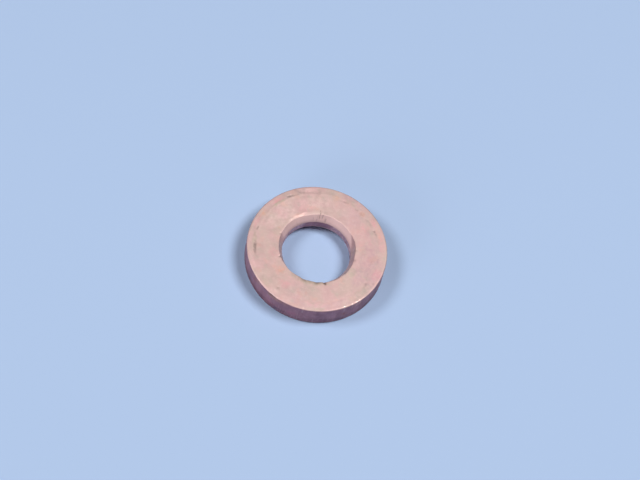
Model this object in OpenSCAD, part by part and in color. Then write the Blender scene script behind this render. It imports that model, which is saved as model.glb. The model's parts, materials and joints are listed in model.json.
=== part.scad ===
// Thick flat washer of solid copper: a plain ring with two flat seating faces.
// The bore is countersunk at both ends, and each face has a shallow rolled band at its rim.
// Origin: centre of the underside, on the bore's axis. +Z runs along the axis, up.

/* [Ring] */
// Outside diameter
outer_d = 15; // [13:0.1:20]
// Diameter of the bore's straight wall
bore_d = 7.3; // [5:0.1:8]
// Thickness between the two flat faces
thickness = 2.8; // [2.2:0.1:4]

/* [Bore mouths] */
// Radial width of the countersink at each end of the bore
sink_w = 0.5; // [0.2:0.05:0.8]
// Depth of the countersink at each end of the bore
sink_h = 0.95; // [0.2:0.05:1]

/* [Rim] */
// Radial width of the rolled band around each face
band_w = 0.85; // [0.5:0.05:1.2]
// Height that the rolled band loses towards the rim
band_drop = 0.08; // [0.04:0.01:0.15]
// Radius of the rounded outer edges
edge_r = 0.2; // [0.1:0.05:0.25]

/* [Hidden] */

// Segments of every round shape
$fn = 180;

outer_r = outer_d / 2;
bore_r = bore_d / 2;
mid_z = thickness / 2;

// Lower half of the ring's section, in radius and height. It runs from the mid-plane down
// the bore's wall, along the underside and back up the rim. The rim's corner is cut
// straight, and the circle fills it out to the round.
module half_section() {
    polygon([
        [bore_r, mid_z],
        [bore_r, sink_h],
        [bore_r + sink_w, 0],
        [outer_r - band_w, 0],
        [outer_r - edge_r, band_drop],
        [outer_r, band_drop + edge_r],
        [outer_r, mid_z]
    ]);
    translate([outer_r - edge_r, band_drop + edge_r])
        circle(r = edge_r);
}

// Whole section: the lower half and its mirror image about the mid-plane
module ring_section() {
    half_section();
    translate([0, thickness])
        mirror([0, 1])
            half_section();
}

// The one solid piece
module washer() {
    color([0.84, 0.68, 0.64])
        rotate_extrude()
            ring_section();
}

washer();
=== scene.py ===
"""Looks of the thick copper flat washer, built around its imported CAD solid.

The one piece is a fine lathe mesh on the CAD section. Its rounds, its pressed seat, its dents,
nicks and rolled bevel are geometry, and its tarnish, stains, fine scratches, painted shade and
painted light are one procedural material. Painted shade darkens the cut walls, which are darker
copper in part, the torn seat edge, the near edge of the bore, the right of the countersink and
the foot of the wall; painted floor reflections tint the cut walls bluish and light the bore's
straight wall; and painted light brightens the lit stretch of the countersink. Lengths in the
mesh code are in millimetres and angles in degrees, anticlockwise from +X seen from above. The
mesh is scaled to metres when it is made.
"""
import json
import math

import bpy
import numpy as np
from mathutils import Matrix, Vector


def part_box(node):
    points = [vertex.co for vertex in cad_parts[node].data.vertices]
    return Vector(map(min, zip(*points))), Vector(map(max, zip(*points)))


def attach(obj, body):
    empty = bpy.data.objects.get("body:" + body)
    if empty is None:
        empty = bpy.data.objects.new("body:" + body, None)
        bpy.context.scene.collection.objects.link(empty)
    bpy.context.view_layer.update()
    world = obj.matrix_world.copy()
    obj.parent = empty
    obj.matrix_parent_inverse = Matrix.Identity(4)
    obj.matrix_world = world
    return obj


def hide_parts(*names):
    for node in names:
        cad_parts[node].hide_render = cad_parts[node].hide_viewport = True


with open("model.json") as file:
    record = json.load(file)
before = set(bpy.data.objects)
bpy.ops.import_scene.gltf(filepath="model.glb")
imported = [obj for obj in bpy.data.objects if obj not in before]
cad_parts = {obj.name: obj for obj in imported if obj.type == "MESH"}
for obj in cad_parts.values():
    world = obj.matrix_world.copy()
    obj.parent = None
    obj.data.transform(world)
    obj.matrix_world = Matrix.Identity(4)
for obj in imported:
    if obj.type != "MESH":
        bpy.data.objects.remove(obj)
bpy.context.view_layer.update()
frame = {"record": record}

MM = 0.001

# ------------------------------------------------------------------ the section, in mm
LOW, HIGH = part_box("washer")
BORE = next(m for m in frame["record"]["mounts"] if m["name"] == "bore")
OUTER_R = min(HIGH.x, HIGH.y, -LOW.x, -LOW.y) / MM
THICK = (HIGH.z - LOW.z) / MM
BORE_R = BORE["dims"]["r_mm"]
LAND_MID = BORE["pos_m"][2] / MM
LAND_HALF = BORE["dims"]["length_mm"] / 2
SINK_W = 0.50              # radial width of the countersinks
BAND_W = 0.85              # radial width of the rolled band at the rim
BAND_DROP = 0.015          # height that the band loses before the round of the rim
SKIN = 0.03                # depth of the mean upper face below the CAD's, room for the waves
GAP = 0.02                 # offset of an edge from its place in the CAD solid, room for the wear
RIM_R = BORE_R + SINK_W - GAP
WALL_R = OUTER_R - GAP
LAND_R = BORE_R + GAP / 2
LAND_TOP = LAND_MID + LAND_HALF
BAND_R = OUTER_R - BAND_W
TOP = THICK - SKIN
AROUND = 640               # points round the ring
ARC_STEP = 0.035           # spacing of the points on a round of the section
FEWEST_STEPS = 3           # of any round of the section

# Corners of the section, anticlockwise from the top of the bore's straight wall:
# radius, height, radius of the round there, spacing of the points after it
CORNERS = [
    (LAND_R, LAND_TOP - GAP, 0.07, 0.15),
    (LAND_R, LAND_MID - LAND_HALF, 0.07, 0.16),
    (RIM_R, 0.0, 0.10, 0.22),
    (BAND_R, 0.0, 0.60, 0.16),
    (WALL_R, BAND_DROP, 0.15, 0.095),
    (WALL_R, TOP - BAND_DROP, 0.12, 0.055),
    (BAND_R, TOP, 0.60, 0.06),
    (RIM_R, TOP, 0.07, 0.055),
]


def round_corner(here, before, after, radius):
    """Points of the round at one corner of the section, in the direction of travel."""
    u = (before - here) / np.linalg.norm(before - here)
    v = (after - here) / np.linalg.norm(after - here)
    half = math.acos(u @ v) / 2
    centre = here + (u + v) / np.linalg.norm(u + v) * radius / math.sin(half)
    first = here + u * radius / math.tan(half) - centre
    last = here + v * radius / math.tan(half) - centre
    start = math.atan2(first[1], first[0])
    turn = (math.atan2(last[1], last[0]) - start + math.pi) % (2 * math.pi) - math.pi
    steps = max(FEWEST_STEPS, round(abs(turn) * radius / ARC_STEP))
    angles = start + turn * np.arange(steps + 1) / steps
    return centre + radius * np.stack([np.cos(angles), np.sin(angles)], axis=1)


def section():
    """The closed section: its points (r, z) and its outward normals."""
    places = [np.array(c[:2]) for c in CORNERS]
    count = len(places)
    arcs = [round_corner(places[i], places[i - 1], places[(i + 1) % count], CORNERS[i][2])
            for i in range(count)]
    points = []
    for i, arc in enumerate(arcs):
        points.extend(arc)
        gap = arcs[(i + 1) % count][0] - arc[-1]
        steps = max(1, round(np.linalg.norm(gap) / CORNERS[i][3]))
        points.extend(arc[-1] + gap * k / steps for k in range(1, steps))
    points = np.array(points)
    along = np.roll(points, -1, axis=0) - np.roll(points, 1, axis=0)
    normals = np.stack([along[:, 1], -along[:, 0]], axis=1)
    return points, normals / np.linalg.norm(normals, axis=1, keepdims=True)


# ------------------------------------------------------------------ seeded noise and masks
def smooth(low, high, x):
    """0 up to low, 1 from high on, and a smooth ramp between."""
    t = np.clip((x - low) / (high - low), 0, 1)
    return t * t * (3 - 2 * t)


def bell(x, width):
    """1 at 0, falling smoothly to nothing over about twice the width."""
    return np.exp(-(x / width) ** 2)


def lattice(i, j, k, seed):
    """A repeatable random number from 0 to 1 at each whole-number lattice point."""
    n = (i * 73856093) ^ (j * 19349663) ^ (k * 83492791) ^ (seed * 15485863)
    n = (n ^ (n >> 13)) * 1274126177
    return ((n ^ (n >> 16)) & 0xFFFF) / 0xFFFF


def noise(x, y, z, cell, seed):
    """Smooth noise from -1 to 1 with features of one cell, in mm."""
    x, y, z = np.broadcast_arrays(x / cell, y / cell, z / cell)
    i, j, k = (np.floor(v).astype(np.int64) for v in (x, y, z))
    fx, fy, fz = (smooth(0, 1, v - w) for v, w in ((x, i), (y, j), (z, k)))
    total = 0
    for a in (0, 1):
        for b in (0, 1):
            for c in (0, 1):
                weight = abs(1 - a - fx) * abs(1 - b - fy) * abs(1 - c - fz)
                total = total + weight * lattice(i + a, j + b, k + c, seed)
    return 2 * total - 1


def turn_from(theta, angle):
    """Signed angle from angle to theta, in degrees, from -180 to 180."""
    return (theta - angle + 180) % 360 - 180


def arc_mask(theta, start, end, soft):
    """1 on the arc from start to end, in degrees, with soft ends."""
    half = (end - start) / 2
    return 1 - smooth(half - soft, half + soft, abs(turn_from(theta, start + half)))


# ------------------------------------------------------------------ wear of this ring
# Waves of a soft ring that was pressed and handled: surface, cell of the noise, height, seed
WAVES = [
    ("faces", 2.6, 0.010, 1),
    ("faces", 0.9, 0.004, 2),
    ("wall", 2.0, 0.008, 3),
    ("wall", 0.7, 0.004, 4),
    ("sink", 0.8, 0.010, 12),
]
# Fine lines that run down a surface: surface, radius of the circle that the noise runs on, cell,
# how fast it changes with height, height of the lines, seed
FINE_LINES = [
    ("land", 9, 0.25, 0.10, 0.012, 13),
    ("wall", 7, 0.16, 0.12, 0.006, 14),
]
TICK_HEIGHT = 0.012        # of the fine tool marks down the upper countersink
# Faint tool lines round the outer wall: height as a part of the thickness, half width
WALL_LINES = [(0.30, 0.05), (0.72, 0.04)]
WALL_LINE_DEPTH = 0.008
UNROUND = 0.015            # most that the rim lies inside its circle
RIM_RAGGED = 0.020         # most that the ragged outer edges are worn down
DENT_RISE = 0.25           # how strongly the edge of a dent is raised

# Seat pressed into the upper face: mean outer radius, half width of its sloping edge, depth, and
# how much deeper it is on one arc (start, end, softness of the ends)
SEAT_R = 6.50
SEAT_SLOPE = 0.16
SEAT_DEPTH = 0.004
SEAT_DEEPER = 0.005
SEAT_DEEP_ARC = (60, 230, 50)
SEAT_WANDER = 0.05         # slow change of the seat's radius
SEAT_RAGGED = 0.03         # quick change of the seat's radius
# Torn stretches of the seat's edge: start, end, strength, level of the noise that tears it
SEAT_TEARS = [(145, 215, 0.3, 0.0), (300, 440, 0.5, 0.1)]
TEAR_WIDTH = 0.13
TEAR_DEPTH = 0.012
# Dents of the upper face: angle, radius, half length along the ring, half width, depth
FACE_DENTS = [
    (191.3, 6.61, 0.42, 0.17, 0.035),
    (197.0, 6.64, 0.52, 0.16, 0.035),
    (174.5, 6.70, 0.24, 0.10, 0.025),
    (34.3, 6.52, 0.12, 0.12, 0.025),
    (31.0, 6.58, 0.30, 0.08, 0.015),
    (62.0, 6.50, 0.22, 0.15, 0.015),
    (75.0, 6.50, 0.28, 0.10, 0.012),
    (128.0, 6.78, 0.30, 0.12, 0.018),
    (242.5, 6.42, 0.15, 0.13, 0.012),
    (335.0, 6.39, 0.15, 0.14, 0.014),
    (339.0, 7.05, 0.16, 0.12, 0.012),
    (293.8, 4.28, 0.13, 0.16, 0.032),
]
# Straight drag marks in the upper face: angle and radius of each end, half width, depth, dirt
FACE_DRAGS = [
    ((130.0, 6.82), (120.5, 6.70), 0.12, 0.010, 0.35),
    ((121.5, 7.35), (119.0, 6.98), 0.17, 0.006, 0.32),
    ((118.6, 6.93), (101.0, 6.68), 0.19, 0.008, 0.34),
    ((98.4, 4.54), (98.1, 4.10), 0.06, 0.015, 0.80),
]
# Rolled bevels along the bore's upper edge: start, end, softness of the ends, strength
MOUTH_BEVELS = [(117, 145, 8, 0.9), (98, 116, 6, 0.3)]
BEVEL_DEPTH = 0.07
BEVEL_WIDTH = 0.24
BEVEL_WIDER = 0.12         # what the bevel's widest arc adds
BEVEL_WIDE_ARC = (116, 124, 6)
# Bites out of the bore's upper edge: angle, half length along the ring, depth
MOUTH_NICKS = [
    (293.4, 0.12, 0.18),
    (209.5, 0.10, 0.08),
    (282, 0.25, 0.07),
    (262, 0.35, 0.04),
    (171, 0.12, 0.05),
    (12.5, 0.12, 0.03),
    (356.5, 0.12, 0.03),
]
# Wobble of the bore's upper edge: cell of the noise, height, seed
MOUTH_WOBBLE = [(1.6, 0.04, 16), (0.6, 0.03, 17)]
# Stretches where the bore's upper edge is peened inwards: angle, half length in degrees, depth
MOUTH_FLATS = [(268, 30, 0.13), (208, 22, 0.07), (5, 14, 0.06)]
# The near stretch of that edge, greenish and darkened by painted shade: start, end, softness of the
# ends
MOUTH_SHADE_OLIVE = (246, 300, 10)
# Drag marks down the upper countersink: angle, heights of the foot and head, half width, depth
SINK_TICKS = [
    (97.8, 2.20, 2.90, 0.06, 0.06),
    (93.5, 2.25, 2.80, 0.06, 0.05),
    (88.3, 1.80, 2.35, 0.08, 0.05),
    (102.0, 1.80, 2.15, 0.07, 0.04),
    (108.0, 1.90, 2.40, 0.07, 0.02),
]
TICK_END = 0.1             # softness of the drag marks' ends
# Stretches of the upper countersink with painted light, a pale matte pink where it is lit: start,
# end, strength
SINK_LIT = [(5, 78, 1.0), (78, 103, 0.8), (103, 172, 1.0)]
# Where that painted light begins: its angle at the foot of the countersink, and how far it slants
LIT_START = 14
LIT_SLANT = 22
# The stretch of the countersink with painted shade where it has no painted light: start, end,
# softness
SINK_SHADED = (345, 400, 5)
# Stretches of the bore's straight wall with a painted pale reflection of the floor: start, end,
# softness of the ends
LAND_REFLECTION = [(16, 74, 7), (123, 174, 8)]
# Dents of the outer wall: angle, height, half length, half height, depth
WALL_DENTS = [
    (283, 2.00, 0.10, 0.08, 0.05),
    (243, 2.55, 0.24, 0.17, 0.09),
    (262, 1.20, 0.30, 0.10, 0.03),
    (305, 1.50, 0.12, 0.30, 0.03),
    (222, 1.70, 0.15, 0.35, 0.03),
    (30, 1.30, 0.30, 0.12, 0.04),
    (95, 1.80, 0.20, 0.15, 0.04),
    (150, 0.90, 0.14, 0.30, 0.04),
]
# The warmer far side of the outer wall, which takes back much of the painted bluish floor
# reflection there: start, end, softness of the ends
WALL_FAR = (15, 175, 25)
# Heights between which the painted shade at the outer wall's foot, next to the floor, fades out
WALL_SHADED_FOOT = (0.10, 1.20)
# Stretches of the rim rubbed bright: angle, half length
RIM_SHINES = [(317, 0.14), (320, 0.08), (312.6, 0.06), (305.5, 0.10), (271, 0.08)]

# How much each kind of wear bares and soils the copper, and how much painted shade darkens it on
# the torn seat edge, the bore's near edge, the right of the countersink and the wall's foot, with
# darker scars and bites. Dents, scars and bites count for each mm of their depth, and the others
# as they are
BARE = {"bevel": 0.1, "rim": 0.2, "shine": 0.85}
DIRT = {"dent": 25, "scar": 14, "bite": 9}
DENT_DIRT = 0.8            # most dirt in a dent
SHADE = {"torn": 0.7, "scar": 12, "bite": 5, "mouth": 0.6, "sink": 0.4, "foot": 1.9}

# What each kind of stain, painted shade and painted floor reflection multiplies the copper's colour
# by
TINTS = {
    "pink": (1.10, 0.91, 0.97),
    "orange": (1.04, 0.93, 0.82),
    "olive": (0.85, 0.97, 0.85),
    "pale": (1.13, 1.14, 1.15),
    "shade": (0.66, 0.62, 0.64),
    "dusk": (0.89, 0.90, 0.94),
    "straw": (1.24, 1.28, 0.92),
    "slate": (0.80, 1.02, 1.16),
    "russet": (1.16, 1.20, 0.84),
    "painted_reflection": (1.70, 2.35, 2.05),
}
# Stains of the upper face: kind, angle, radius, half length, half width, strength
FACE_STAINS = [
    ("dusk", 352, 5.70, 2.60, 1.40, 0.9),
    ("dusk", 18, 5.90, 1.50, 0.80, 0.5),
    ("dusk", 58, 5.50, 1.50, 1.20, 0.5),
    ("dusk", 300, 6.95, 4.20, 0.40, 0.6),
    ("dusk", 335, 6.90, 1.20, 0.50, 0.6),
    ("dusk", 262, 5.80, 1.40, 1.40, 0.4),
    ("dusk", 130, 6.95, 1.60, 0.35, 0.5),
    ("dusk", 70, 6.95, 1.50, 0.40, 0.6),
    ("pink", 232, 5.20, 1.90, 1.00, 0.3),
    ("pink", 18, 5.30, 2.00, 0.90, 0.3),
    ("pale", 112, 6.98, 0.95, 0.24, 1.4),
    ("pale", 145, 5.40, 1.70, 0.95, 1.3),
    ("pale", 105, 5.50, 1.80, 0.80, 0.8),
    ("pale", 62, 5.40, 1.40, 0.80, 0.5),
    ("pale", 208, 7.10, 1.00, 0.22, 0.6),
    ("pale", 242, 7.00, 0.50, 0.30, 0.9),
    ("pale", 311, 6.60, 1.50, 0.50, 0.4),
    ("pale", 160, 5.00, 1.00, 0.45, 0.5),
    ("pale", 90, 5.00, 1.40, 0.50, 0.4),
    ("pale", 281, 6.80, 1.10, 0.45, 0.6),
    ("pink", 281, 6.60, 1.00, 0.40, 0.5),
    ("pink", 140, 6.92, 0.80, 0.20, 0.9),
    ("pink", 168, 7.00, 0.90, 0.20, 0.6),
    ("pink", 117, 4.80, 0.80, 0.45, 0.5),
    ("pink", 44, 6.90, 0.70, 0.30, 1.0),
    ("pink", 39, 5.80, 0.60, 0.50, 0.6),
    ("pink", 203, 4.80, 0.90, 0.50, 0.6),
    ("pink", 18, 6.90, 1.40, 0.35, 0.5),
    ("pink", 347, 6.90, 0.90, 0.38, 0.8),
    ("pink", 245, 5.70, 0.80, 0.50, 0.5),
    ("orange", 160, 6.90, 0.40, 0.25, 0.9),
    ("orange", 85, 6.50, 0.50, 0.30, 0.7),
    ("orange", 55, 6.50, 0.40, 0.30, 0.8),
    ("orange", 31, 6.92, 0.80, 0.24, 0.6),
    ("orange", 229, 4.70, 0.50, 0.35, 0.7),
    ("olive", 143, 6.62, 1.00, 0.20, 1.0),
    ("olive", 186, 6.75, 1.00, 0.25, 0.7),
    ("olive", 173, 4.60, 0.60, 0.45, 0.4),
    ("olive", 71, 6.72, 1.00, 0.35, 0.6),
    ("olive", 322, 6.90, 1.40, 0.40, 0.5),
    ("olive", 232, 6.90, 0.60, 0.30, 0.5),
    ("olive", 285, 7.20, 0.70, 0.20, 0.6),
    ("olive", 336, 4.60, 0.70, 0.40, 0.5),
]
# Stains and painted shade of the outer wall: kind, angle, height, half length, half height,
# strength
WALL_STAINS = [
    ("straw", 250, 2.40, 1.60, 0.30, 1.0),
    ("straw", 317, 2.25, 1.00, 0.35, 0.8),
    ("straw", 225, 2.30, 0.60, 0.40, 0.6),
    ("orange", 307, 1.30, 0.50, 0.40, 1.0),
    ("orange", 222, 2.10, 0.40, 0.35, 0.8),
    ("pink", 262, 1.10, 0.70, 0.35, 1.0),
    ("pink", 243, 0.90, 0.50, 0.30, 1.0),
    ("slate", 249, 0.50, 0.60, 0.30, 0.9),
    ("slate", 217, 1.20, 0.50, 0.60, 0.6),
    ("slate", 300, 0.60, 0.60, 0.30, 0.5),
    # Painted shade over the near middle of the outer wall
    ("shade", 277, 1.60, 1.70, 1.20, 0.4),
    ("shade", 243, 2.55, 0.55, 0.22, 0.9),
    ("olive", 243, 2.50, 0.80, 0.30, 0.8),
]


class Ring:
    """The unworn ring: where each point lies, how it faces and, from 0 to 1, how much it belongs
    to each surface and edge. Arrays run round the ring first, then round the section."""

    def __init__(self):
        points, normals = section()
        self.r = points[None, :, 0]
        self.z = points[None, :, 1]
        self.nr = normals[None, :, 0]
        self.nz = normals[None, :, 1]
        self.theta = (np.arange(AROUND) * 360 / AROUND)[:, None]
        self.cos = np.cos(np.radians(self.theta))
        self.sin = np.sin(np.radians(self.theta))
        self.x = self.r * self.cos
        self.y = self.r * self.sin

        # The upper half, the upper face, both faces, the outer wall and the bore's straight wall
        self.upper = smooth(0.6 * THICK, 0.8 * THICK, self.z)
        self.face = smooth(0.85, 0.97, self.nz)
        self.faces = self.face + smooth(0.85, 0.97, -self.nz)
        self.wall = smooth(0.86, 0.99, self.nr)
        self.land = smooth(0.85, 0.98, -self.nr)
        # The upper countersink, the bore's upper edge and the rounds of the two outer edges
        self.sink = smooth(0.3, 0.6, -self.nr) * (1 - self.land) * self.upper
        self.mouth = bell(self.r - RIM_R, 0.14) * smooth(TOP - 0.45, TOP - 0.05, self.z)
        sloping = smooth(0.1, 0.5, abs(self.nz)) * smooth(0.1, 0.5, self.nr)
        self.rim = bell(self.r - WALL_R, 0.35) * sloping

    def along(self, angle, radius):
        """Signed distance along the ring from an angle, at a radius."""
        return np.radians(turn_from(self.theta, angle)) * radius

    def bumps(self, cell, seed):
        """Noise all over the surface, with features of one cell."""
        return noise(self.x, self.y, self.z, cell, seed)

    def around(self, radius, cell, seed, height=0):
        """Noise on a circle of the radius, so that it changes round the ring. It changes with the
        height too where one is given."""
        return noise(radius * self.cos, radius * self.sin, height, cell, seed)


# ------------------------------------------------------------------ shape of the wear
def handling(ring):
    """Height of the waves, fine lines and tool marks all over the ring."""
    lift = sum(height * getattr(ring, surface) * ring.bumps(cell, seed)
               for surface, cell, height, seed in WAVES)
    for surface, radius, cell, rise, height, seed in FINE_LINES:
        lines = ring.around(radius, cell, seed, rise * ring.z)
        lift = lift + height * getattr(ring, surface) * lines
    ticks = ring.around(9, 0.22, 10) * smooth(0.0, 0.5, ring.around(4, 1.2, 11))
    lift = lift + TICK_HEIGHT * ring.sink * ticks
    for part, width in WALL_LINES:
        lift = lift - WALL_LINE_DEPTH * ring.wall * bell(ring.z - part * THICK, width)
    return lift


def pressed_seat(ring):
    """Depth of the seat pressed into the upper face, and the torn line at its ragged edge."""
    ragged = ring.around(5, 0.7, 6)
    seat_r = SEAT_R + SEAT_WANDER * ring.around(5, 1.2, 5) + SEAT_RAGGED * ragged
    depth = SEAT_DEPTH + SEAT_DEEPER * arc_mask(ring.theta, *SEAT_DEEP_ARC)
    depth = depth * ring.face * (1 - smooth(seat_r - SEAT_SLOPE, seat_r + SEAT_SLOPE, ring.r))
    torn = sum(strength * arc_mask(ring.theta, start, end, 15) * smooth(level, level + 0.6, ragged)
               for start, end, strength, level in SEAT_TEARS)
    torn = torn * ring.face * bell(ring.r - seat_r, TEAR_WIDTH)
    return depth + TEAR_DEPTH * torn, torn


def rolled_bevel(ring):
    """How far the bore's upper edge is rolled over, from 0 to 1."""
    rolled = sum(strength * arc_mask(ring.theta, start, end, soft)
                 for start, end, soft, strength in MOUTH_BEVELS)
    spread = BEVEL_WIDTH + BEVEL_WIDER * arc_mask(ring.theta, *BEVEL_WIDE_ARC)
    out = ring.r - RIM_R
    rolled = rolled * np.clip(1 - out / spread, 0, 1) * bell(np.minimum(out, 0), 0.12)
    return rolled * ring.upper * (0.9 + 0.1 * ring.around(5, 0.5, 9))


def sink_scars(ring):
    """Depth of the drag marks down the upper countersink."""
    scar = 0
    for angle, foot, head, width, deep in SINK_TICKS:
        run = smooth(foot - TICK_END, foot + TICK_END, ring.z)
        run = run * (1 - smooth(head - TICK_END, head + TICK_END, ring.z))
        scar = scar + deep * run * bell(ring.along(angle, RIM_R), width)
    return scar * np.maximum(ring.sink, 0.6 * ring.mouth)


def mouth_bites(ring):
    """Depth of the nicks in the bore's upper edge."""
    bite = sum(deep * bell(ring.along(angle, RIM_R), length)
               for angle, length, deep in MOUTH_NICKS)
    return bite * np.maximum(ring.mouth, 0.5 * ring.sink)


def dent(reach, deep):
    """Depth of a dent with a low raised edge. The reach is the square of the distance from its
    middle, as a part of its size."""
    return deep * np.exp(-reach) * (1 - DENT_RISE * reach)


def drag(ring, start_at, end_at, width):
    """1 along the straight line between two places, each given as angle and radius."""
    start, end = (radius * np.exp(1j * math.radians(angle)) for angle, radius in (start_at, end_at))
    span = end - start
    gone = ring.x + 1j * ring.y - start
    part = np.clip((gone * np.conj(span)).real / abs(span) ** 2, 0, 1)
    return bell(abs(gone - part * span), width)


def face_marks(ring):
    """Depth and dirt of the dents and drag marks in the upper face."""
    depth, dirt = 0, 0
    for angle, radius, length, width, deep in FACE_DENTS:
        reach = (ring.along(angle, radius) / length) ** 2 + ((ring.r - radius) / width) ** 2
        depth = depth + dent(reach, deep)
        dirt = dirt + min(DENT_DIRT, DIRT["dent"] * deep) * bell(reach, 1.2)
    for start_at, end_at, width, deep, soil in FACE_DRAGS:
        groove = drag(ring, start_at, end_at, width)
        depth = depth + deep * groove
        dirt = dirt + soil * groove
    return depth * ring.face, dirt * ring.face


def wall_knocks(ring):
    """Depth of the dents of the outer wall."""
    depth = 0
    for angle, height, length, tall, deep in WALL_DENTS:
        reach = (ring.along(angle, OUTER_R) / length) ** 2 + ((ring.z - height) / tall) ** 2
        depth = depth + dent(reach, deep)
    return depth * np.maximum(ring.wall, ring.rim)


def out_of_round(ring):
    """Outward shift of a ring that is a little out of round, with a cornered bore mouth."""
    shift = -UNROUND * (1 + ring.around(7, 3.0, 15)) / 2
    shift = shift * smooth(BAND_R - 1.5, WALL_R - 0.1, ring.r)
    cornered = sum(height * ring.around(4, cell, seed) for cell, height, seed in MOUTH_WOBBLE)
    for angle, half, deep in MOUTH_FLATS:
        cornered = cornered - deep * bell(turn_from(ring.theta, angle), half)
    return shift + cornered * bell(ring.r - RIM_R, 0.30) * ring.upper


# ------------------------------------------------------------------ colour of the wear
def bare_metal(ring, rolled):
    """Where the tarnish is rubbed off: thinly on the rim and the bevel, and in bright spots."""
    rubbed = ring.rim * ring.upper * smooth(-0.1, 0.6, ring.around(7, 0.5, 19, ring.z))
    bare = BARE["bevel"] * rolled + BARE["rim"] * rubbed
    for angle, length in RIM_SHINES:
        spot = bell(ring.along(angle, OUTER_R), length) * bell(ring.r - OUTER_R + 0.16, 0.12)
        bare = bare + BARE["shine"] * spot * ring.upper
    return bare


def lit_side_of_sink(ring):
    """1 on the side of the slanting line in the countersink where its painted light lies."""
    rise = np.clip((ring.z - LAND_TOP) / (TOP - LAND_TOP), 0, 1)
    return smooth(0, 10, turn_from(ring.theta, LIT_START + LIT_SLANT * rise))


def blotch(along, across, warp):
    """A ragged stain. The distances along and across it are parts of its size."""
    reach = (along + 0.5 * warp[0]) ** 2 + (across + 0.4 * warp[1]) ** 2
    return 1 - smooth(0.2, 1.6, reach)


def stains(ring, sink_lit_side, torn, scar, bite):
    """How strongly each kind of stain, painted shade and painted reflection covers each point."""
    cover = {kind: np.zeros_like(ring.x) for kind in TINTS}
    warp = ring.bumps(0.8, 20), ring.bumps(0.8, 21)
    for kind, angle, radius, length, width, strength in FACE_STAINS:
        along, across = ring.along(angle, radius) / length, (ring.r - radius) / width
        cover[kind] += strength * ring.face * blotch(along, across, warp)
    for kind, angle, height, length, tall, strength in WALL_STAINS:
        along, across = ring.along(angle, OUTER_R) / length, (ring.z - height) / tall
        cover[kind] += strength * ring.wall * blotch(along, across, warp)

    cover["russet"] += ring.wall * arc_mask(ring.theta, *WALL_FAR)
    # Painted reflection of the floor, lightening the bore's straight wall
    for arc in LAND_REFLECTION:
        cover["painted_reflection"] += smooth(0.93, 0.99, -ring.nr) * arc_mask(ring.theta, *arc)
    # Painted shade and an olive tint along the near stretch of the bore's upper edge
    shaded_olive_mouth = ring.upper * arc_mask(ring.theta, *MOUTH_SHADE_OLIVE)
    cover["olive"] += shaded_olive_mouth * bell(ring.r - RIM_R - 0.1, 0.28)
    cover["shade"] += SHADE["mouth"] * shaded_olive_mouth * bell(ring.r - RIM_R, 0.2)
    # Painted shade on the right of the upper countersink, where it has no painted light
    shaded_sink = ring.sink * arc_mask(ring.theta, *SINK_SHADED) * (1 - sink_lit_side)
    cover["shade"] += SHADE["sink"] * shaded_sink
    # Painted shade along the torn seat edge, and darker scars and bites
    cover["shade"] += SHADE["torn"] * torn + SHADE["scar"] * scar + SHADE["bite"] * bite
    # Painted shade: the outer wall darkens towards the floor
    foot = 1 - smooth(*WALL_SHADED_FOOT, ring.z + 0.15 * ring.bumps(0.9, 22))
    cover["shade"] += SHADE["foot"] * smooth(0.1, 0.5, ring.nr) * foot
    return cover


def worn_ring():
    """The ring's points (around, section, 3) in mm, moved by its wear, and a dictionary of one
    value a point, from 0 to 1: bare metal, dirt, the cut walls with their painted shade, the
    countersink's painted light, and each kind of stain, painted shade and painted reflection."""
    ring = Ring()
    seat, torn = pressed_seat(ring)
    rolled = rolled_bevel(ring)
    scar = sink_scars(ring)
    bite = mouth_bites(ring)
    marks, soiled = face_marks(ring)
    ragged = RIM_RAGGED * ring.rim * (1 + ring.around(7, 0.35, 18, ring.z)) / 2

    lift = handling(ring) - seat - scar - bite - marks - wall_knocks(ring) - ragged
    r_new = np.minimum(ring.r + out_of_round(ring) + lift * ring.nr, OUTER_R)
    z_new = np.clip(ring.z + lift * ring.nz - BEVEL_DEPTH * rolled, 0, THICK)
    moved = np.stack([r_new * ring.cos, r_new * ring.sin, z_new], axis=-1)

    sink_lit_side = lit_side_of_sink(ring)
    values = {
        "bare": bare_metal(ring, rolled),
        "dirt": soiled + DIRT["scar"] * scar + DIRT["bite"] * bite,
        # Painted shade and painted floor reflection: the cut walls take a darker, purplish colour
        "dark_shaded_walls": np.maximum(ring.wall, ring.land) * np.ones_like(ring.theta),
        # Painted light on the lit stretches of the upper countersink
        "lit_sink": sum(ring.sink * sink_lit_side * strength * arc_mask(ring.theta, start, end, 6)
                     for start, end, strength in SINK_LIT),
        **stains(ring, sink_lit_side, torn, scar, bite),
    }
    return moved, {name: np.clip(value, 0, 1) for name, value in values.items()}


def ring_mesh():
    """The ring as a closed mesh of quads, with its wear as point attributes."""
    points, values = worn_ring()
    count = points.shape[1]
    row = np.arange(AROUND)[:, None] * count
    next_row = (row + count) % (AROUND * count)
    col = np.arange(count)[None, :]
    next_col = (col + 1) % count
    quads = np.stack([row + col, next_row + col, next_row + next_col, row + next_col], axis=-1)
    mesh = bpy.data.meshes.new("washer_ring")
    mesh.from_pydata((points.reshape(-1, 3) * MM).tolist(), [], quads.reshape(-1, 4).tolist())
    for name, value in values.items():
        layer = mesh.attributes.new(name, "FLOAT", "POINT")
        layer.data.foreach_set("value", value.astype(np.float32).ravel())
    mesh.shade_smooth()
    return mesh


# ------------------------------------------------------------------ copper
PINK_COPPER = (0.78, 0.50, 0.485)
BEIGE_COPPER = (0.72, 0.52, 0.47)
# Tones of the cut walls: in part darker cut copper, in part painted shade and painted bluish floor
# reflection
SHADED_WALL_DEEP = (0.30, 0.138, 0.185)
SHADED_WALL_PALE = (0.40, 0.190, 0.235)
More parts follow.
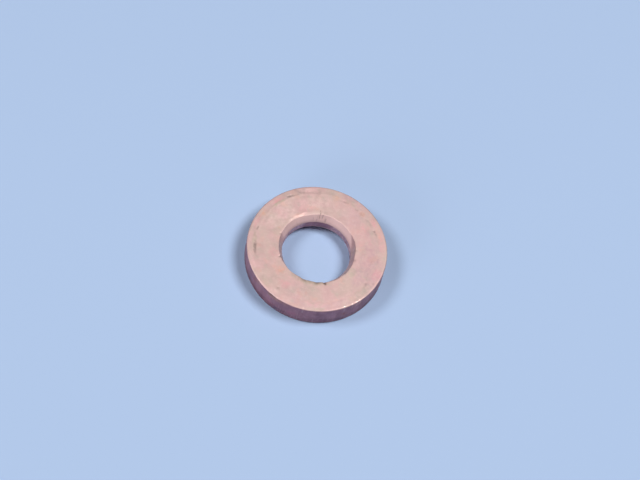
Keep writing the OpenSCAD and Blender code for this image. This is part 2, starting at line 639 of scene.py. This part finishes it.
# Painted light: the pale matte pink of the countersink's lit stretch
LIT_SINK_PINK = (1.0, 0.68, 0.65)
GRIME = (0.36, 0.25, 0.23)
RUBBED = (0.95, 0.74, 0.66)
SCRATCHED = (0.90, 0.68, 0.62)
# Patches over the ground colour: size in mm, detail and shift of the noise, the noise where a
# patch begins and is full, strength, colour
PATCHES = [
    (1.3, 3, 0.03, 0.56, 0.72, 0.45, (0.82, 0.48, 0.41)),
    (0.9, 4, 0.07, 0.55, 0.75, 0.40, (0.60, 0.50, 0.43)),
    (0.35, 3, 0.11, 0.45, 0.75, 0.35, (0.86, 0.62, 0.58)),
]
METALLIC = (0.45, 1.0)     # of tarnished and of rubbed copper
ROUGHNESS = (0.46, 0.62)   # least and most, from the noise
RUBBED_SMOOTHER = 0.16     # what rubbing takes off the roughness
LINES_SMOOTHER = 0.08      # what scratches take off the roughness
BUMP_HEIGHT = 0.012        # mm
BUMP_STRENGTH = 0.45


class Graph:
    """A short way to write a material's nodes."""

    def __init__(self, name):
        self.material = bpy.data.materials.new(name)
        self.material.use_nodes = True
        self.nodes = self.material.node_tree.nodes
        self.links = self.material.node_tree.links
        self.shader = self.nodes["Principled BSDF"]
        self.place = self.add("ShaderNodeTexCoord").outputs["Object"]

    def add(self, kind, **settings):
        """A new node of a kind, with its settings."""
        node = self.nodes.new(kind)
        for key, value in settings.items():
            setattr(node, key, value)
        return node

    def put(self, socket, value):
        """Links an output to a socket, or sets the socket's own value."""
        if isinstance(value, bpy.types.NodeSocket):
            self.links.new(value, socket)
        elif isinstance(value, tuple) and len(value) == 3 and socket.type == "RGBA":
            socket.default_value = (*value, 1)
        else:
            socket.default_value = value

    def noise(self, size_mm, detail=3, stretch=(1, 1, 1), turn=(0, 0, 0), shift=0.0, rough=0.5):
        """Noise from 0 to 1 with features of size_mm, shrunk along each axis by stretch."""
        mapping = self.add("ShaderNodeMapping")
        self.links.new(self.place, mapping.inputs["Vector"])
        mapping.inputs["Rotation"].default_value = turn
        mapping.inputs["Scale"].default_value = stretch
        mapping.inputs["Location"].default_value = (shift, shift, shift)
        node = self.add("ShaderNodeTexNoise")
        self.links.new(mapping.outputs["Vector"], node.inputs["Vector"])
        node.inputs["Scale"].default_value = 1 / (size_mm * MM)
        node.inputs["Detail"].default_value = detail
        node.inputs["Roughness"].default_value = rough
        return node.outputs["Fac"]

    def ramp(self, value, low, high, to_low=0.0, to_high=1.0):
        """Maps low..high smoothly to to_low..to_high, clamped."""
        node = self.add("ShaderNodeMapRange", interpolation_type="SMOOTHSTEP")
        self.put(node.inputs["Value"], value)
        node.inputs["From Min"].default_value = low
        node.inputs["From Max"].default_value = high
        node.inputs["To Min"].default_value = to_low
        node.inputs["To Max"].default_value = to_high
        return node.outputs["Result"]

    def mix(self, factor, a, b, mode="MIX"):
        """Colour a, with colour b mixed in by the factor."""
        node = self.add("ShaderNodeMix", data_type="RGBA", blend_type=mode)
        self.put(node.inputs["Factor"], factor)
        colour_a, colour_b = (s for s in node.inputs if s.type == "RGBA")
        self.put(colour_a, a)
        self.put(colour_b, b)
        return next(s for s in node.outputs if s.type == "RGBA")

    def mix_value(self, factor, a, b):
        """Number a, with number b mixed in by the factor."""
        return self.math("ADD", self.math("MULTIPLY", a, self.math("SUBTRACT", 1.0, factor)),
                         self.math("MULTIPLY", b, factor))

    def math(self, operation, a, b=0.0):
        """One operation on two numbers."""
        node = self.add("ShaderNodeMath", operation=operation)
        self.put(node.inputs[0], a)
        self.put(node.inputs[1], b)
        return node.outputs["Value"]

    def attribute(self, name):
        """A value that the mesh carries on its points."""
        return self.add("ShaderNodeAttribute", attribute_name=name).outputs["Fac"]


def copper():
    """Matte, handled copper: pink tarnish with beige, orange and grey patches, cut walls darker in
    part by painted shade and painted floor reflection, and painted light on the countersink's lit
    stretch.
    """
    g = Graph("copper")
    bare, dirt, dark_shaded_walls, lit_sink = (g.attribute(n) for n in ("bare", "dirt", "dark_shaded_walls", "lit_sink"))

    tone = g.mix(g.ramp(g.noise(2.2, 4), 0.35, 0.65), PINK_COPPER, BEIGE_COPPER)
    for size, detail, shift, begins, full, strength, colour in PATCHES:
        patch = g.ramp(g.noise(size, detail, shift=shift), begins, full, 0, strength)
        tone = g.mix(patch, tone, colour)
    # The cut walls take those darker tones, partly painted shade and painted floor reflection
    wall = g.ramp(g.noise(1.0, 4, (1, 1, 0.35), shift=0.05), 0.35, 0.65)
    tone = g.mix(dark_shaded_walls, tone, g.mix(wall, SHADED_WALL_DEEP, SHADED_WALL_PALE))
    # Painted light on the lit stretch of the upper countersink
    tone = g.mix(lit_sink, tone, LIT_SINK_PINK)
    mottle = g.ramp(g.noise(0.35, 4, shift=0.13), 0.32, 0.62, 0.3, 1.1)
    # Stains, painted shade and painted floor reflection multiply the tone
    for kind, tint in TINTS.items():
        tone = g.mix(g.math("MULTIPLY", g.attribute(kind), mottle), tone, tint, "MULTIPLY")
    grime = g.math("MULTIPLY", dirt, g.ramp(g.noise(0.25, 2, shift=0.02), 0.3, 0.6, 0.5, 0.9))
    tone = g.mix(grime, tone, GRIME)
    tone = g.mix(g.math("MULTIPLY", bare, 0.8), tone, RUBBED)

    # Fine scratches run two ways over the faces and down the walls
    scratch = g.ramp(g.noise(0.10, 2, (1, 0.06, 0.5), turn=(0, 0, 0.5)), 0.60, 0.70)
    cross = g.ramp(g.noise(0.09, 2, (0.07, 1, 0.5), turn=(0, 0, -0.3), shift=0.04), 0.62, 0.70)
    draw = g.ramp(g.noise(0.12, 2, (1, 1, 0.05), shift=0.06), 0.58, 0.70)
    lines = g.mix_value(dark_shaded_walls, g.math("ADD", scratch, cross), draw)
    tone = g.mix(g.math("MULTIPLY", lines, 0.12), tone, SCRATCHED)
    g.put(g.shader.inputs["Base Color"], tone)

    # The countersink's painted light is no metal, and rubbed or scratched copper is smoother
    metal = g.ramp(bare, 0, 1, *METALLIC)
    g.put(g.shader.inputs["Metallic"], g.math("MULTIPLY", metal, g.ramp(lit_sink, 0, 1, 1.0, 0.0)))
    rough = g.ramp(g.noise(0.6, 4, shift=0.09), 0.3, 0.7, *ROUGHNESS)
    worn = g.math("ADD", g.math("MULTIPLY", bare, RUBBED_SMOOTHER),
                  g.math("MULTIPLY", lines, LINES_SMOOTHER))
    g.put(g.shader.inputs["Roughness"], g.math("SUBTRACT", rough, worn))

    grain = g.noise(0.06, 3, rough=0.6)
    bump = g.add("ShaderNodeBump")
    bump.inputs["Strength"].default_value = BUMP_STRENGTH
    bump.inputs["Distance"].default_value = BUMP_HEIGHT * MM
    g.put(bump.inputs["Height"], g.math("SUBTRACT", grain, g.math("MULTIPLY", lines, 0.5)))
    g.put(g.shader.inputs["Normal"], bump.outputs["Normal"])
    return g.material


# ------------------------------------------------------------------ stage, light and camera
FLOOR_HALF = 1.5           # m
FLOOR_COLOUR = (0.45, 0.59, 0.84, 1)
FLOOR_ROUGHNESS = 0.8
# Round soft lights: name, azimuth, elevation, distance and width in metres, power in watts
LIGHTS = [
    ("key", 12, 66, 0.40, 0.17, 1.06),
    ("fill", 192, 53, 0.40, 0.155, 0.64),
    ("front", 240, 14, 0.40, 0.20, 0.42),
]
ROOM_LIGHT = 0.015
EYE_ELEVATION = 60.8       # degrees
EYE_ROLL = 14.3            # degrees
EYE_DISTANCE = 0.2634      # m, from the centre of the upper face
EYE_ASIDE = 0.28           # mm, to the right in the picture
EYE_ABOVE = 0.84           # mm, up in the picture
LENS = 140.6               # mm
CLIP_NEAR = 0.01           # m
CLIP_FAR = 10              # m


def plain_floor():
    """A plain pale floor at the height that the ring rests on."""
    signs = ((-1, -1), (1, -1), (1, 1), (-1, 1))
    corners = [(sx * FLOOR_HALF, sy * FLOOR_HALF, LOW.z) for sx, sy in signs]
    mesh = bpy.data.meshes.new("floor")
    mesh.from_pydata(corners, [], [(0, 1, 2, 3)])
    material = bpy.data.materials.new("floor")
    material.use_nodes = True
    shader = material.node_tree.nodes["Principled BSDF"]
    shader.inputs["Base Color"].default_value = FLOOR_COLOUR
    shader.inputs["Roughness"].default_value = FLOOR_ROUGHNESS
    mesh.materials.append(material)
    obj = bpy.data.objects.new("floor", mesh)
    bpy.context.scene.collection.objects.link(obj)


def softbox(name, azimuth, elevation, distance, size, power):
    """A round soft light that faces the origin. Azimuth is anticlockwise from +X."""
    a, e = math.radians(azimuth), math.radians(elevation)
    way = Vector((math.cos(a) * math.cos(e), math.sin(a) * math.cos(e), math.sin(e)))
    data = bpy.data.lights.new(name, "AREA")
    data.shape = "DISK"
    data.size = size
    data.energy = power
    lamp = bpy.data.objects.new(name, data)
    turn = way.to_track_quat("Z", "Y").to_matrix().to_4x4()
    lamp.matrix_world = Matrix.Translation(way * distance) @ turn
    bpy.context.scene.collection.objects.link(lamp)


def soft_room(strength):
    """A faint white light from all round, and plain colours in the picture."""
    world = bpy.data.worlds.new("room")
    world.use_nodes = True
    world.node_tree.nodes["Background"].inputs["Color"].default_value = (1, 1, 1, 1)
    world.node_tree.nodes["Background"].inputs["Strength"].default_value = strength
    bpy.context.scene.world = world
    bpy.context.scene.view_settings.view_transform = "Standard"


def camera():
    """The camera looks down at the upper face, turned a little about its own axis."""
    elevation, roll = math.radians(EYE_ELEVATION), math.radians(EYE_ROLL)
    back = Vector((0, -math.cos(elevation), math.sin(elevation)))
    level = Vector((1, 0, 0))
    upright = back.cross(level)
    right = math.cos(roll) * level + math.sin(roll) * upright
    up = back.cross(right)
    place = Vector((0, 0, HIGH.z)) + back * EYE_DISTANCE
    place = place + right * (EYE_ASIDE * MM) + up * (EYE_ABOVE * MM)
    data = bpy.data.cameras.new("camera")
    data.lens = LENS
    data.clip_start = CLIP_NEAR
    data.clip_end = CLIP_FAR
    eye = bpy.data.objects.new("camera", data)
    eye.matrix_world = Matrix.Translation(place) @ Matrix((right, up, back)).transposed().to_4x4()
    bpy.context.scene.collection.objects.link(eye)
    bpy.context.scene.camera = eye


# ------------------------------------------------------------------ the piece and its stage
ring = bpy.data.objects.new("washer_ring", ring_mesh())
bpy.context.scene.collection.objects.link(ring)
ring.data.materials.append(copper())
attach(ring, "root")
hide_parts("washer")

plain_floor()
for light in LIGHTS:
    softbox(*light)
soft_room(ROOM_LIGHT)
camera()
